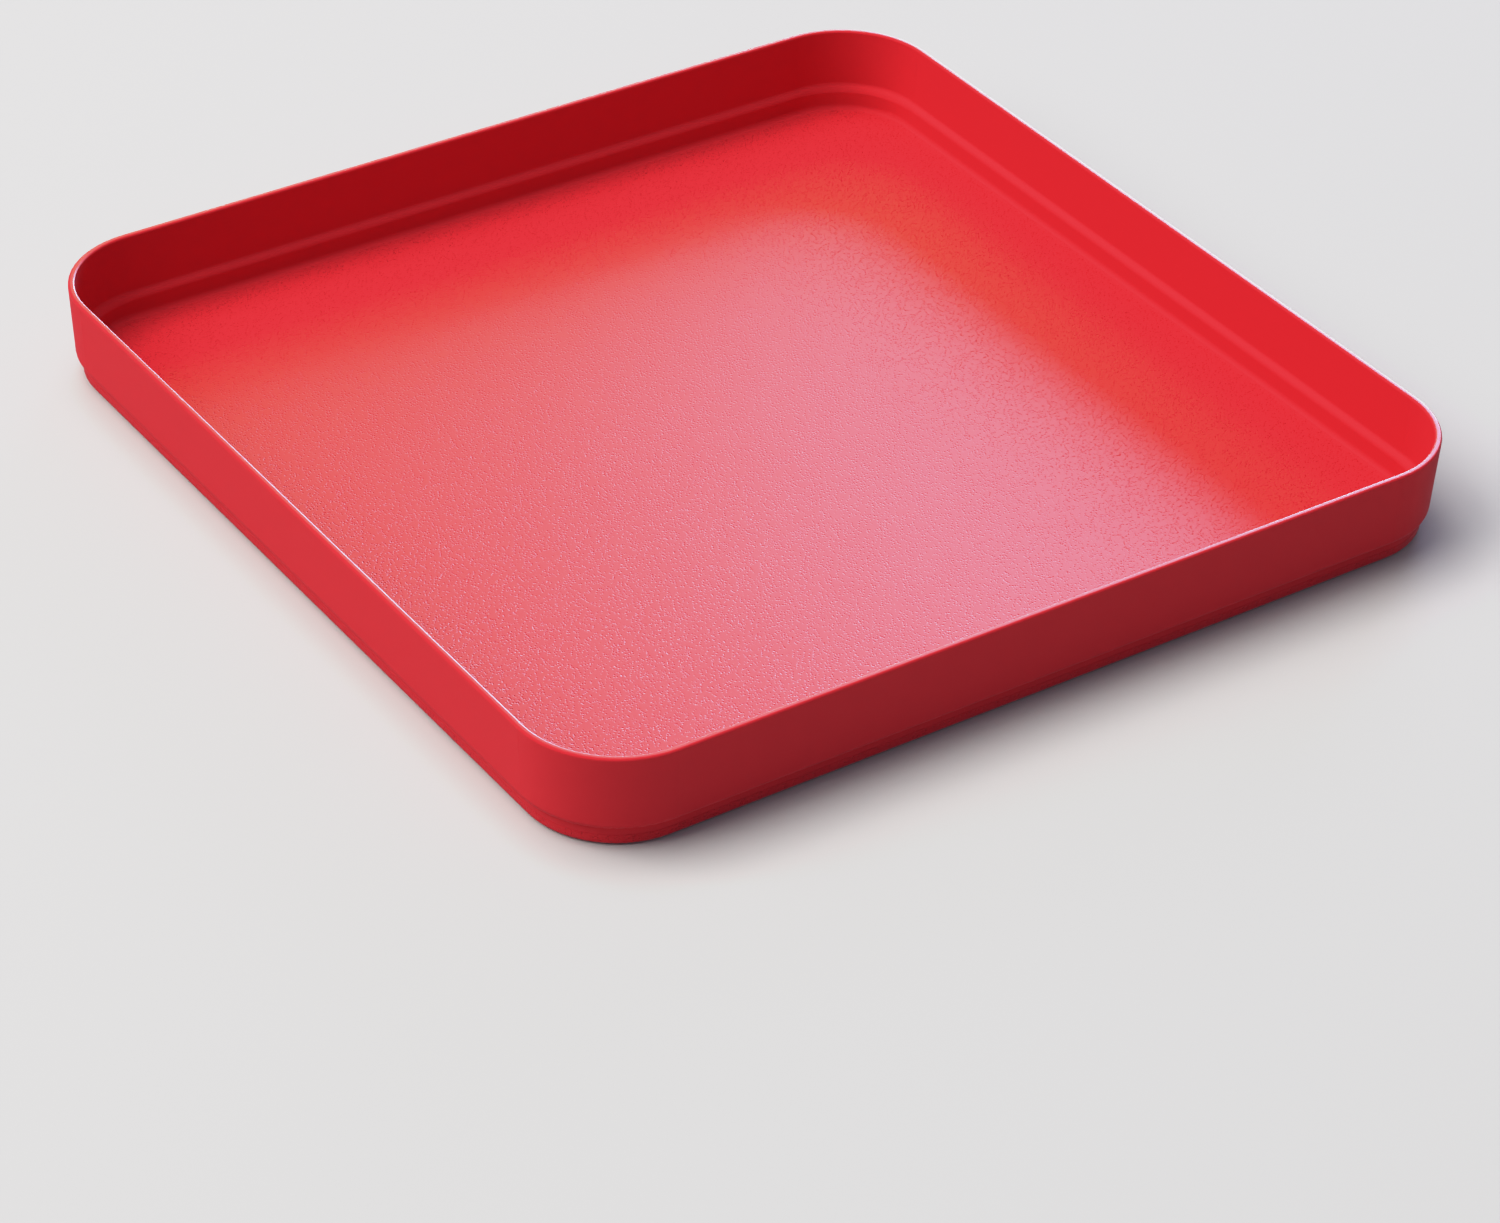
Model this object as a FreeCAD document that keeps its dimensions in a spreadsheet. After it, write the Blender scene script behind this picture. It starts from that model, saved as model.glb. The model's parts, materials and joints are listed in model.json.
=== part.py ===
import FreeCAD, Part
import math
import os
import Sketcher

# Square stacking tray with rounded corners, moulded in one piece from coloured plastic.
# Millimetres, +Z up. The origin is the centre of the flat underside.
#
# One section runs round the whole tray: a flat floor, a low foot, a shoulder that steps out over
# the foot, and a thin wall that leans out towards the rim. Inside, the step shows as a narrow,
# sloping ledge above the floor. Outside, the shoulder rests on the rim of another tray of the same
# kind, with the foot inside that rim.

NODE = "sorting_tray"

SIZES = [
    ("tray_width", 205.0, "outside width across the rim, both ways"),
    ("corner_radius", 20.5, "outside radius of the corners at the rim"),
    ("tray_height", 20.3, "underside to the top of the rim"),
    ("wall_thickness", 1.4, "side wall and foot wall"),
    ("floor_thickness", 2.2, "floor plate"),
    ("draft_angle", 3.0, "lean of the side wall from upright, in degrees"),
    ("foot_height", 4.1, "underside to the bottom of the shoulder"),
    ("foot_clearance", 0.5, "room each side between the foot and the rim that it drops into"),
    ("foot_draft", 0.3, "how far the foot narrows towards the underside"),
    ("shoulder_rise", 0.4, "rise of the shoulder from the foot out to the wall"),
    ("ledge_offset", 2.9, "bottom of the shoulder up to the free edge of the ledge inside"),
    ("ledge_rise", 0.6, "rise of the ledge from its free edge out to the side wall"),
    ("shoulder_radius", 1.3, "rounding outside, between wall and shoulder"),
    ("foot_radius", 1.0, "rounding outside, round the underside"),
    ("floor_radius", 1.5, "rounding inside, between floor and foot wall"),
    ("ledge_radius", 0.8, "rounding inside, between ledge and side wall"),
    ("step_radius", 1.3, "rounding of the free edge of the ledge"),
    ("rim_radius", 0.5, "rounding of both edges of the rim"),
]

# Distance in from the outside of the rim to the top of the foot, so that the foot clears the rim
# of the tray below.
FOOT_INSET = "(Sizes.wall_thickness + Sizes.foot_clearance)"

# Levels that more than one corner of the section stands on.
SHOULDER_TOP = "(Sizes.foot_height + Sizes.shoulder_rise)"
LEDGE_LOW = "(Sizes.foot_height + Sizes.ledge_offset)"
LEDGE_TOP = "(Sizes.foot_height + Sizes.ledge_offset + Sizes.ledge_rise)"


def lean(level):
    """Level distance that the wall has moved in, from the rim down to this level."""
    return f"(Sizes.tray_height - {level}) * tan(Sizes.draft_angle)"


# Corners of the section in order, each as its distance in from the outside of the rim, and its
# height above the underside.
SECTION = {
    "floor_underside": ("Sizes.corner_radius", "0"),
    "foot_bottom": (f"{FOOT_INSET} + Sizes.foot_draft", "0"),
    "foot_top": (FOOT_INSET, "Sizes.foot_height"),
    "shoulder": (lean(SHOULDER_TOP), SHOULDER_TOP),
    "rim_outside": ("0", "Sizes.tray_height"),
    "rim_inside": ("Sizes.wall_thickness", "Sizes.tray_height"),
    "ledge_outside": (f"Sizes.wall_thickness + {lean(LEDGE_TOP)}", LEDGE_TOP),
    "ledge_inside": (f"Sizes.wall_thickness + {FOOT_INSET}", LEDGE_LOW),
    "floor_edge": (f"Sizes.wall_thickness + {FOOT_INSET} + Sizes.foot_draft", "Sizes.floor_thickness"),
    "floor_surface": ("Sizes.corner_radius", "Sizes.floor_thickness"),
}

# Roundings, each with its corner of the section and its radius. Those on the rim, the shoulder and
# the ledge keep to a part of its width, so that the two next to each other both have room.
SHOULDER_WIDTH = f"({FOOT_INSET} - {lean(SHOULDER_TOP)})"
LEDGE_WIDTH = f"({FOOT_INSET} - {lean(LEDGE_TOP)})"
RIM_ROUNDING = "min(Sizes.rim_radius; Sizes.wall_thickness * 0.4)"
ROUNDINGS = [
    ("ShoulderRounding", "shoulder", f"min(Sizes.shoulder_radius; {SHOULDER_WIDTH} * 1.4)"),
    ("FootRounding", "foot_bottom", "Sizes.foot_radius"),
    ("FloorRounding", "floor_edge", "Sizes.floor_radius"),
    ("LedgeRounding", "ledge_outside", f"min(Sizes.ledge_radius; {LEDGE_WIDTH} * 0.7)"),
    ("StepRounding", "ledge_inside", f"min(Sizes.step_radius; {LEDGE_WIDTH} * 1.1)"),
    ("RimOutsideRounding", "rim_outside", RIM_ROUNDING),
    ("RimInsideRounding", "rim_inside", RIM_ROUNDING),
]

EDGE_TOLERANCE = 0.01
SIDES = 4


def make_sheet(doc):
    """Spreadsheet with one named cell for each size."""
    sheet = doc.addObject("Spreadsheet::Sheet", "Sizes")
    for row, (alias, value, meaning) in enumerate(SIZES, start=1):
        sheet.set(f"A{row}", meaning)
        sheet.set(f"B{row}", str(value))
        sheet.setAlias(f"B{row}", alias)
    return sheet


def origin_feature(body, role):
    """Plane or axis of the body's own origin that has this role."""
    return next(feature for feature in body.Origin.OriginFeatures if feature.Role == role)


def make_sketch(body, name, plane):
    """Empty sketch on one of the body's origin planes."""
    sketch = body.newObject("Sketcher::SketchObject", name)
    sketch.AttachmentSupport = [(origin_feature(body, plane), "")]
    sketch.MapMode = "FlatFace"
    return sketch


def pin(sketch, geometry, end, across, up):
    """Fix one end of a line at formulas for its distances across and up from the origin."""
    for kind, formula in (("DistanceX", across), ("DistanceY", up)):
        sketch.addConstraint(Sketcher.Constraint(kind, -1, 1, geometry, end, 1.0))
        sketch.setExpression(f"Constraints[{sketch.ConstraintCount - 1}]", formula)


def draw_outline(sketch, corners):
    """Closed outline of straight lines through corners given as pairs of formulas."""
    count = len(corners)
    for index in range(count):
        angle = 2 * math.pi * index / count
        following = 2 * math.pi * (index + 1) / count
        start = FreeCAD.Vector(math.cos(angle), math.sin(angle), 0)
        end = FreeCAD.Vector(math.cos(following), math.sin(following), 0)
        sketch.addGeometry(Part.LineSegment(start, end), False)
    for index in range(count):
        sketch.addConstraint(Sketcher.Constraint("Coincident", index, 2, (index + 1) % count, 1))
    for index, (across, up) in enumerate(corners):
        pin(sketch, index, 1, across, up)


def add_floor(body):
    """Middle of the floor: the square between the four corner centres."""
    sketch = make_sketch(body, "FloorSketch", "XY_Plane")
    turns = [(-1, -1), (1, -1), (1, 1), (-1, 1)]
    points = [FreeCAD.Vector(x_sign, y_sign, 0) for x_sign, y_sign in turns]
    for index in range(SIDES):
        sketch.addGeometry(Part.LineSegment(points[index], points[(index + 1) % SIDES]), False)
        sketch.addConstraint(Sketcher.Constraint("Horizontal" if index % 2 == 0 else "Vertical", index))
    for index in range(SIDES):
        sketch.addConstraint(Sketcher.Constraint("Coincident", index, 2, (index + 1) % SIDES, 1))
    sketch.addConstraint(Sketcher.Constraint("Symmetric", 0, 1, 2, 1, -1, 1))
    for kind, line in (("DistanceX", 0), ("DistanceY", 1)):
        sketch.addConstraint(Sketcher.Constraint(kind, line, 1, line, 2, 1.0))
        formula = "Sizes.tray_width - 2 * Sizes.corner_radius"
        sketch.setExpression(f"Constraints[{sketch.ConstraintCount - 1}]", formula)
    pad = body.newObject("PartDesign::Pad", "Floor")
    pad.Profile = sketch
    pad.setExpression("Length", "Sizes.floor_thickness")
    return pad


def add_section_sketch(body):
    """Section of the wall, in the plane where the +X side meets its -Y corner."""
    sketch = make_sketch(body, "SectionSketch", "XZ_Plane")
    sketch.setExpression("AttachmentOffset.Base.z", "Sizes.tray_width / 2 - Sizes.corner_radius")
    corners = [(f"Sizes.tray_width / 2 - ({inset})", level) for inset, level in SECTION.values()]
    draw_outline(sketch, corners)
    return sketch


def add_corner_axis(sketch):
    """Upright construction line through the corner's centre. Returns its name as an axis."""
    line = sketch.GeometryCount
    sketch.addGeometry(Part.LineSegment(FreeCAD.Vector(0.5, 0, 0), FreeCAD.Vector(0.5, 1, 0)), True)
    for end, up in ((1, "0"), (2, "Sizes.tray_height")):
        pin(sketch, line, end, "Sizes.tray_width / 2 - Sizes.corner_radius", up)
    return "Axis0"


def add_wall(body):
    """One side and one corner of the wall from the same section, repeated for all four sides."""
    sketch = add_section_sketch(body)
    axis = add_corner_axis(sketch)
    side = body.newObject("PartDesign::Pad", "Side")
    side.Profile = sketch
    side.Reversed = True
    side.setExpression("Length", "Sizes.tray_width - 2 * Sizes.corner_radius")
    corner = body.newObject("PartDesign::Revolution", "Corner")
    corner.Profile = sketch
    corner.ReferenceAxis = (sketch, [axis])
    corner.Reversed = True
    corner.Angle = 360 / SIDES
    ring = body.newObject("PartDesign::PolarPattern", "Wall")
    ring.Originals = [side, corner]
    ring.Axis = (origin_feature(body, "Z_Axis"), [""])
    ring.Angle = 360
    ring.Occurrences = SIDES
    body.Tip = ring
    return sketch


def inset_of(point, sizes):
    """Level distance of a point in from the outside of the rim."""
    core = sizes.tray_width / 2 - sizes.corner_radius
    across = abs(point.x) - core
    along = abs(point.y) - core
    out = math.hypot(across, along) if min(across, along) > 0 else max(across, along)
    return sizes.corner_radius - out


def edges_at(shape, inset, level, sizes):
    """Names of the edges that run round the tray at this inset and level."""
    found = []
    for number, edge in enumerate(shape.Edges, start=1):
        points = [edge.valueAt(edge.FirstParameter), edge.valueAt(edge.LastParameter)]
        points.append(edge.valueAt((edge.FirstParameter + edge.LastParameter) / 2))
        level_fits = all(abs(point.z - level) < EDGE_TOLERANCE for point in points)
        inset_fits = all(abs(inset_of(point, sizes) - inset) < EDGE_TOLERANCE for point in points)
        if level_fits and inset_fits:
            found.append(f"Edge{number}")
    return found


def add_roundings(doc, body, section):
    """Round the edges that run round the tray, found from the corners of the section."""
    sizes = doc.getObject("Sizes")
    names = list(SECTION)
    for name, corner, radius in ROUNDINGS:
        doc.recompute()
        base = body.Tip
        point = section.getPoint(names.index(corner), 1)
        edges = edges_at(base.Shape, sizes.tray_width / 2 - point.x, point.y, sizes)
        rounding = body.newObject("PartDesign::Fillet", name)
        rounding.Base = (base, edges)
        rounding.setExpression("Radius", radius)
        body.Tip = rounding


def check(doc, body):
    """Stop if any object failed, or if the tray isn't one sound solid."""
    for item in doc.Objects:
        if "Invalid" in item.State or "Error" in item.State:
            raise RuntimeError(f"{item.Label} failed: {item.State}")
    if body.Shape.isNull() or not body.Shape.isValid() or len(body.Shape.Solids) != 1:
        raise RuntimeError(f"{body.Label} is not one sound solid")


def main():
    """Build the tray and write it to its file."""
    doc = FreeCAD.newDocument("SortingTray")
    make_sheet(doc)
    doc.recompute()
    body = doc.addObject("PartDesign::Body", "SortingTray")
    body.Label = NODE
    body.Placement = FreeCAD.Placement()
    add_floor(body)
    section = add_wall(body)
    add_roundings(doc, body, section)
    doc.recompute()
    check(doc, body)
    os.makedirs("parts", exist_ok=True)
    body.Shape.exportStep(f"parts/{NODE}.step")
    box = body.Shape.optimalBoundingBox(False)
    print(f"{NODE}: {box.XLength:.2f} x {box.YLength:.2f} x {box.ZLength:.2f} mm, "
          f"{body.Shape.Volume / 1000:.2f} cm3, {len(body.Shape.Faces)} faces")


main()
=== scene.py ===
import json
import logging
import math
from dataclasses import dataclass, field
from enum import Enum
from typing import Any

import bpy
from mathutils import Matrix, Vector

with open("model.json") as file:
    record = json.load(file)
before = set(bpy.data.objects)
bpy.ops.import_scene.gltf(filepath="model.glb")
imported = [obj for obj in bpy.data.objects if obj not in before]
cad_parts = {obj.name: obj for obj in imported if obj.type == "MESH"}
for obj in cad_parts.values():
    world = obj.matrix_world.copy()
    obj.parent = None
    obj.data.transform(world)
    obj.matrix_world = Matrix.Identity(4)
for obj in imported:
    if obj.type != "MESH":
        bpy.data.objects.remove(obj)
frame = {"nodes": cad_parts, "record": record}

LOG = logging.getLogger("sorting_tray")
MILLIMETRE = 0.001
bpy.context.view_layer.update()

# Blender keeps the curves of red, green and blue first, and then the one for all three.
CURVE_FOR_ALL_COLOURS = 3


def to_linear(hex_colour: str) -> tuple[float, float, float, float]:
    """Turn an sRGB hex colour into the linear colour that a shader takes.

    Args:
        hex_colour: Six hex digits, such as "D8141C".

    Returns:
        Linear red, green and blue, and an alpha of 1.
    """
    parts = [int(hex_colour[index:index + 2], 16) / 255 for index in (0, 2, 4)]
    linear = [part / 12.92 if part <= 0.04045 else ((part + 0.055) / 1.055) ** 2.4 for part in parts]
    return (linear[0], linear[1], linear[2], 1.0)


def add_node(
    tree: bpy.types.NodeTree,
    kind: str,
    settings: dict[str, Any] | None = None,
    links: dict[str | int, bpy.types.NodeSocket] | None = None,
) -> bpy.types.Node:
    """Add a shader node, with its settings, input values and incoming links.

    Args:
        tree: Node tree that the node goes into.
        kind: Blender's name for the kind of node.
        settings: Properties of the node, or default values of its inputs, by name.
        links: Output sockets of other nodes, by the name or number of the input that takes them.

    Returns:
        The new node.
    """
    node = tree.nodes.new(kind)
    for name, value in (settings or {}).items():
        if hasattr(node, name):
            setattr(node, name, value)
        else:
            node.inputs[name].default_value = value
    for name, socket in (links or {}).items():
        tree.links.new(socket, node.inputs[name])
    return node


def empty_material(name: str) -> bpy.types.Material:
    """Make a material that has no nodes yet.

    Args:
        name: Name of the material.

    Returns:
        The material, with an empty node tree.
    """
    material = bpy.data.materials.new(name)
    material.use_nodes = True
    material.node_tree.nodes.clear()
    return material


def mount_level(name: str) -> float:
    """Height of one of the record's flat faces.

    Args:
        name: Name of the mount in the record.

    Returns:
        Its height above the underside, in metres.
    """
    mounts = frame["record"]["mounts"]
    return next(mount["pos_m"][2] for mount in mounts if mount["name"] == name)


@dataclass(frozen=True)
class MouldedPolypropylene:
    """Red polypropylene, injection moulded.

    The walls come off a smooth steel and are satin. The floor has a fine spark-eroded grain, which
    breaks the window's reflection into a pale, sandy sheen. The rim is polished by handling and
    stacking, so it carries a thin bright line. Both levels are in metres above the underside.
    """

    floor_level: float
    rim_level: float
    colour: str = "CB2A33"
    # Painted shade: the bottoms of the floor's pits are coloured a little darker, so that the grain
    # shows.
    pit_shade_colour: str = "BD2029"
    wall_roughness: float = 0.50
    floor_roughness: float = 0.44
    rim_roughness: float = 0.38
    ior: float = 1.49
    specular_level: float = 0.08
    # The real grain is 0.2 to 0.4 mm across. That is too fine to show, so it is drawn coarser.
    grain_mm: float = 0.6
    grain_depth_mm: float = 0.16
    # Radius of a pit, as a share of the grain's size.
    pit_radius: float = 0.40
    # Sink and flow marks that let the sheen waver a little, as on any large flat moulding.
    ripple_mm: float = 30.0
    ripple_depth_mm: float = 0.02
    ripple_detail: float = 1.0
    # The grain stops just above the floor, and the polish covers the rounded top of the wall.
    grain_reach_mm: float = 0.25
    polish_reach_mm: float = 0.70
    step_mm: float = 0.2

    def material(self) -> bpy.types.Material:
        """Build the material.

        Returns:
            The finished material.
        """
        material = empty_material("moulded_polypropylene_red")
        tree = material.node_tree
        place = add_node(tree, "ShaderNodeTexCoord").outputs["Object"]
        height = add_node(tree, "ShaderNodeSeparateXYZ", None, {"Vector": place}).outputs["Z"]
        floor = self.step(tree, height, self.floor_level, self.grain_reach_mm, -self.step_mm)
        rim = self.step(tree, height, self.rim_level, -self.polish_reach_mm, self.step_mm)
        grain = self.grain(tree, place, floor)
        shader = add_node(
            tree,
            "ShaderNodeBsdfPrincipled",
            {"IOR": self.ior, "Specular IOR Level": self.specular_level},
            {
                "Base Color": self.tint_and_pit_shade(tree, grain, floor),
                "Roughness": self.roughness(tree, floor, rim),
                "Normal": self.relief(tree, place, grain),
            },
        )
        add_node(tree, "ShaderNodeOutputMaterial", None, {"Surface": shader.outputs["BSDF"]})
        return material

    def step(
        self,
        tree: bpy.types.NodeTree,
        height: bpy.types.NodeSocket,
        level: float,
        start_mm: float,
        reach_mm: float,
    ) -> bpy.types.NodeSocket:
        """Add a node that tells one level of the tray from the rest.

        Args:
            tree: Node tree of the material.
            height: Socket with the height on the tray.
            level: Level of the floor or the rim, in metres.
            start_mm: Height above that level at which the step is still 0.
            reach_mm: How far above the start, or below it if negative, the step is 1.

        Returns:
            The socket with the step.
        """
        start = level + start_mm * MILLIMETRE
        settings = {"From Min": start, "From Max": start + reach_mm * MILLIMETRE}
        return add_node(tree, "ShaderNodeMapRange", settings, {"Value": height}).outputs["Result"]

    def grain(
        self, tree: bpy.types.NodeTree, place: bpy.types.NodeSocket, floor: bpy.types.NodeSocket
    ) -> bpy.types.NodeSocket:
        """Add the nodes that pit the floor with the mould's grain.

        Args:
            tree: Node tree of the material.
            place: Socket with the place on the tray.
            floor: Socket that is 1 on the floor.

        Returns:
            A socket that is 1 between the floor's pits, and 0 at their bottom and on the walls.
        """
        settings = {"Scale": 1 / (self.grain_mm * MILLIMETRE)}
        cells = add_node(tree, "ShaderNodeTexVoronoi", settings, {"Vector": place})
        pits = add_node(
            tree,
            "ShaderNodeMapRange",
            {"interpolation_type": "SMOOTHSTEP", "From Max": self.pit_radius},
            {"Value": cells.outputs["Distance"]},
        )
        links = {0: pits.outputs["Result"], 1: floor}
        return add_node(tree, "ShaderNodeMath", {"operation": "MULTIPLY"}, links).outputs["Value"]

    def tint_and_pit_shade(
        self, tree: bpy.types.NodeTree, grain: bpy.types.NodeSocket, floor: bpy.types.NodeSocket
    ) -> bpy.types.NodeSocket:
        """Add the nodes that colour the plastic, with painted shade that makes the floor's pits a
        little darker.

        Args:
            tree: Node tree of the material.
            grain: Socket with the height of the grain.
            floor: Socket that is 1 on the floor.

        Returns:
            The socket with the colour.
        """
        settings = {"operation": "SUBTRACT"}
        # Painted shade: 1 at the bottom of the floor's pits, where the darker colour goes.
        pit_shade = add_node(tree, "ShaderNodeMath", settings, {0: floor, 1: grain}).outputs["Value"]
        colours = {"Color1": to_linear(self.colour), "Color2": to_linear(self.pit_shade_colour)}
        return add_node(tree, "ShaderNodeMixRGB", colours, {"Fac": pit_shade}).outputs["Color"]

    def roughness(
        self, tree: bpy.types.NodeTree, floor: bpy.types.NodeSocket, rim: bpy.types.NodeSocket
    ) -> bpy.types.NodeSocket:
        """Add the nodes that give wall, floor and rim each their own finish.

        Args:
            tree: Node tree of the material.
            floor: Socket that is 1 on the floor.
            rim: Socket that is 1 on the rim.

        Returns:
            The socket with the roughness.
        """
        moulded = add_node(
            tree,
            "ShaderNodeMapRange",
            {"To Min": self.wall_roughness, "To Max": self.floor_roughness},
            {"Value": floor},
        )
        polished = add_node(
            tree,
            "ShaderNodeMapRange",
            {"To Max": self.rim_roughness},
            {"Value": rim, "To Min": moulded.outputs["Result"]},
        )
        return polished.outputs["Result"]

    def relief(
        self, tree: bpy.types.NodeTree, place: bpy.types.NodeSocket, grain: bpy.types.NodeSocket
    ) -> bpy.types.NodeSocket:
        """Add the nodes that raise the grain on top of the slow sink and flow marks.

        Args:
            tree: Node tree of the material.
            place: Socket with the place on the tray.
            grain: Socket with the height of the grain.

        Returns:
            The socket with the normal.
        """
        ripple = add_node(
            tree,
            "ShaderNodeTexNoise",
            {"Scale": 1 / (self.ripple_mm * MILLIMETRE), "Detail": self.ripple_detail},
            {"Vector": place},
        )
        marks = add_node(
            tree,
            "ShaderNodeBump",
            {"Distance": self.ripple_depth_mm * MILLIMETRE},
            {"Height": ripple.outputs["Fac"]},
        )
        pitted = add_node(
            tree,
            "ShaderNodeBump",
            {"Distance": self.grain_depth_mm * MILLIMETRE},
            {"Height": grain, "Normal": marks.outputs["Normal"]},
        )
        return pitted.outputs["Normal"]


@dataclass
class SortingTray:
    """The tray itself: one moulding."""

    node: str = "sorting_tray"
    finish: MouldedPolypropylene = field(
        default_factory=lambda: MouldedPolypropylene(mount_level("floor"), mount_level("stacking_rim"))
    )

    def build(self) -> bpy.types.Object:
        """Dress the tray in its plastic.

        Returns:
            The tray's object.
        """
        tray = frame["nodes"][self.node]
        tray.data.materials.clear()
        tray.data.materials.append(self.finish.material())
        LOG.info("%s: %d faces", self.node, len(tray.data.polygons))
        return tray


class Lamp(Enum):
    """The soft lights of the studio."""

    SIDE = "side_light"
    WINDOW = "window_light"
    SILL = "sill_light"
    CURTAIN = "curtain_light"
    CEILING = "ceiling_light"


class LightUse(Enum):
    """What a light does: whether it brightens surfaces, and whether they reflect it."""

    BRIGHTEN = (True, False)
    REFLECT = (False, True)


@dataclass(frozen=True)
class SoftLight:
    """A soft light that hangs round the tray and points at it.

    The bearing is counted from +X towards +Y and the elevation up from the studio floor, both in
    degrees. Distance, width and height are in metres. Radiance 1 is a white that just fills the
    picture.
    """

    bearing: float
    elevation: float
    distance: float
    width: float
    height: float
    radiance: float
    colour: str
    use: LightUse

    def place(self) -> Vector:
        """Centre of the light."""
        turn = math.radians(self.bearing)
        lift = math.radians(self.elevation)
        level = self.distance * math.cos(lift)
        return Vector((level * math.cos(turn), level * math.sin(turn), self.distance * math.sin(lift)))

    def build(self, name: str) -> bpy.types.Object:
        """Hang the light.

        Args:
            name: Name of the light's object.

        Returns:
            The light's object.
        """
        data = bpy.data.lights.new(name, "AREA")
        data.shape = "RECTANGLE"
        data.size = self.width
        data.size_y = self.height
        data.energy = self.radiance * math.pi * self.width * self.height
        data.color = to_linear(self.colour)[:3]
        lamp = bpy.data.objects.new(name, data)
        lamp.visible_diffuse, lamp.visible_glossy = self.use.value
        place = self.place()
        turn = (-place).to_track_quat("-Z", "Y").to_matrix().to_4x4()
        lamp.matrix_world = Matrix.Translation(place) @ turn
        bpy.context.scene.collection.objects.link(lamp)
        return lamp


@dataclass
class Studio:
    """Pale floor, even surroundings and soft lights. Lengths in metres.

    Two broad lights brighten the tray. The window, its sill and the curtain beside it only show as
    a sheen: they stand low behind the tray, where they would tint the studio floor.
    """

    floor_side: float = 14.0
    # The studio floor lies a little below the underside, so that the two don't coincide.
    floor_gap: float = 0.0002
    floor_colour: str = "BCBCBC"
    floor_roughness: float = 0.9
    floor_specular_level: float = 0.1
    sky_colour: str = "E2ECFF"
    sky_strength: float = 0.30
    lights: dict[Lamp, SoftLight] = field(
        default_factory=lambda: {
            Lamp.SIDE: SoftLight(156, 46, 2.0, 1.6, 1.4, 6.1, "FFFAF4", LightUse.BRIGHTEN),
            Lamp.WINDOW: SoftLight(40, 13.5, 3.0, 1.14, 0.79, 138, "D0D6FF", LightUse.REFLECT),
            Lamp.SILL: SoftLight(60, 5, 3.0, 0.90, 0.30, 36, "F2E8F6", LightUse.REFLECT),
            Lamp.CURTAIN: SoftLight(61.5, 27.5, 3.0, 1.14, 1.00, 8.6, "FFE680", LightUse.REFLECT),
            Lamp.CEILING: SoftLight(110, 74, 2.2, 1.5, 1.5, 5.4, "FFFAF6", LightUse.BRIGHTEN),
        }
    )

    def build(self) -> bpy.types.Object:
        """Lay the floor and light it.

        Returns:
            The studio floor's object.
        """
        bpy.ops.object.select_all(action="DESELECT")
        bpy.ops.mesh.primitive_plane_add(size=self.floor_side, location=(0, 0, -self.floor_gap))
        floor = bpy.context.object
        floor.name = "studio_floor"
        floor.data.materials.append(self.floor_material())
        # The photograph's background is cut out, so no white paper shows in the tray's walls.
        floor.visible_glossy = False
        world = bpy.data.worlds.new("studio_surroundings")
        world.use_nodes = True
        background = world.node_tree.nodes["Background"]
        background.inputs["Color"].default_value = to_linear(self.sky_colour)
        background.inputs["Strength"].default_value = self.sky_strength
        bpy.context.scene.world = world
        for lamp, light in self.lights.items():
            light.build(lamp.value)
        return floor

    def floor_material(self) -> bpy.types.Material:
        """Matt pale paper of the studio floor."""
        material = empty_material("matt_background_paper")
        shader = add_node(
            material.node_tree,
            "ShaderNodeBsdfPrincipled",
            {
                "Base Color": to_linear(self.floor_colour),
                "Roughness": self.floor_roughness,
                "Specular IOR Level": self.floor_specular_level,
            },
        )
        links = {"Surface": shader.outputs["BSDF"]}
        add_node(material.node_tree, "ShaderNodeOutputMaterial", None, links)
        return material


@dataclass
class PhotoCamera:
    """Camera that sees the tray as the photograph does. Lengths in metres."""

    place: tuple[float, float, float] = (-0.4567, -0.6566, 0.5177)
    aim: tuple[float, float, float] = (-0.0484, -0.0743, 0.0203)
    roll_degrees: float = 1.931
    lens_mm: float = 115.47
    sensor_mm: float = 36.0
    clip_start: float = 0.01

    def build(self) -> bpy.types.Object:
        """Place the camera and make it the scene's.

        Returns:
            The camera's object.
        """
        data = bpy.data.cameras.new("photo_camera")
        data.sensor_fit = "HORIZONTAL"
        data.sensor_width = self.sensor_mm
        data.lens = self.lens_mm
        data.clip_start = self.clip_start
        camera = bpy.data.objects.new("photo_camera", data)
        toward = Vector(self.aim) - Vector(self.place)
        turn = toward.to_track_quat("-Z", "Y").to_matrix().to_4x4()
        roll = Matrix.Rotation(math.radians(self.roll_degrees), 4, "Z")
        camera.matrix_world = Matrix.Translation(self.place) @ turn @ roll
        bpy.context.scene.collection.objects.link(camera)
        bpy.context.scene.camera = camera
        return camera


@dataclass(frozen=True)
class PhotoTone:
    """Tone of the picture: plain colours, with a soft shoulder above the brightest reds.

    The default view would grey the red, and without the shoulder the lit floor burns out to full
    red. Each point is a brightness in the scene and what it becomes in the picture.
    """

    white: float = 4.0
    points: tuple[tuple[float, float], ...] = ((0.72, 0.72), (0.90, 0.79), (1.20, 0.83), (2.00, 0.90))

    def build(self) -> None:
        """Set the scene's view."""
        view = bpy.context.scene.view_settings
        view.view_transform = "Standard"
        view.use_curve_mapping = True
        view.curve_mapping.white_level = (self.white, self.white, self.white)
        curve = view.curve_mapping.curves[CURVE_FOR_ALL_COLOURS]
        for bright, shown in self.points:
            curve.points.new(bright / self.white, shown)
        for point in curve.points:
            point.handle_type = "VECTOR"
        view.curve_mapping.update()


def main() -> None:
    """Build the tray, the studio, the camera and the tone."""
    logging.basicConfig(level=logging.INFO)
    for part in (SortingTray(), Studio(), PhotoCamera(), PhotoTone()):
        part.build()
        LOG.info("%s is in place", type(part).__name__)


if __name__ == "__main__":
    main()
